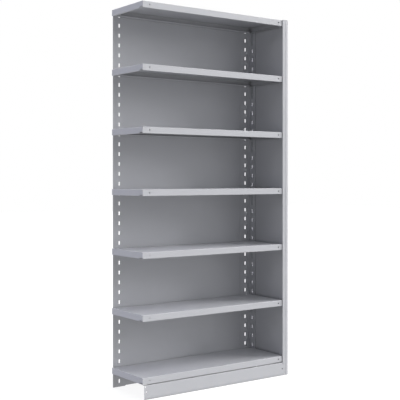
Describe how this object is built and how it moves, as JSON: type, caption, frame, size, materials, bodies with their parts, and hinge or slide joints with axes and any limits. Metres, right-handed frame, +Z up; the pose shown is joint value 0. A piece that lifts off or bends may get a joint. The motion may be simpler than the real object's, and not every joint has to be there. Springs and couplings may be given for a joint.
{
  "type": "library shelving bay",
  "caption": "Open steel library shelving bay with slotted T-shaped upright at one end, folded shelves on hook clips, slotted back and kick plate; hangs on the bay beside it at the other end.",
  "frame": {"origin": "on the floor, under the middle of the bounding box", "axes": "+X to the right seen from the front, towards the upright; +Y to the rear; +Z up"},
  "size_m": [0.9186, 0.3038, 1.905],
  "materials": {
    "powder_coat": "smooth light grey powder coat, satin",
    "zinc": "bright zinc plated"
  },
  "bodies": {
    "frame": {"front_post_inner": "powder_coat", "front_post_outer": "powder_coat", "rear_post_inner": "powder_coat", "rear_post_outer": "powder_coat", "side_panel": "powder_coat", "back_strip_left": "powder_coat", "back_strip_right": "powder_coat", "back_panel": "powder_coat", "kick_plate": "powder_coat", "base_shelf": "powder_coat", "top_shelf": "powder_coat", "front_shelf_clips": "zinc", "rear_shelf_clips": "zinc", "tie_bolts": "zinc", "tie_nuts": "zinc", "tie_spacers": "zinc", "strip_screws": "zinc"},
    "shelf_1": {"shelf_1": "powder_coat"},
    "shelf_2": {"shelf_2": "powder_coat"},
    "shelf_3": {"shelf_3": "powder_coat"},
    "shelf_4": {"shelf_4": "powder_coat"},
    "shelf_5": {"shelf_5": "powder_coat"}
  },
  "joints": [
    {"name": "shelf_1_lift", "type": "slide", "parent": "frame", "child": "shelf_1", "axis": [0, 0, 1], "range_m": [0, 0.2]},
    {"name": "shelf_2_lift", "type": "slide", "parent": "frame", "child": "shelf_2", "axis": [0, 0, 1], "range_m": [0, 0.2]},
    {"name": "shelf_3_lift", "type": "slide", "parent": "frame", "child": "shelf_3", "axis": [0, 0, 1], "range_m": [0, 0.2]},
    {"name": "shelf_4_lift", "type": "slide", "parent": "frame", "child": "shelf_4", "axis": [0, 0, 1], "range_m": [0, 0.2]},
    {"name": "shelf_5_lift", "type": "slide", "parent": "frame", "child": "shelf_5", "axis": [0, 0, 1], "range_m": [0, 0.2]}
  ]
}
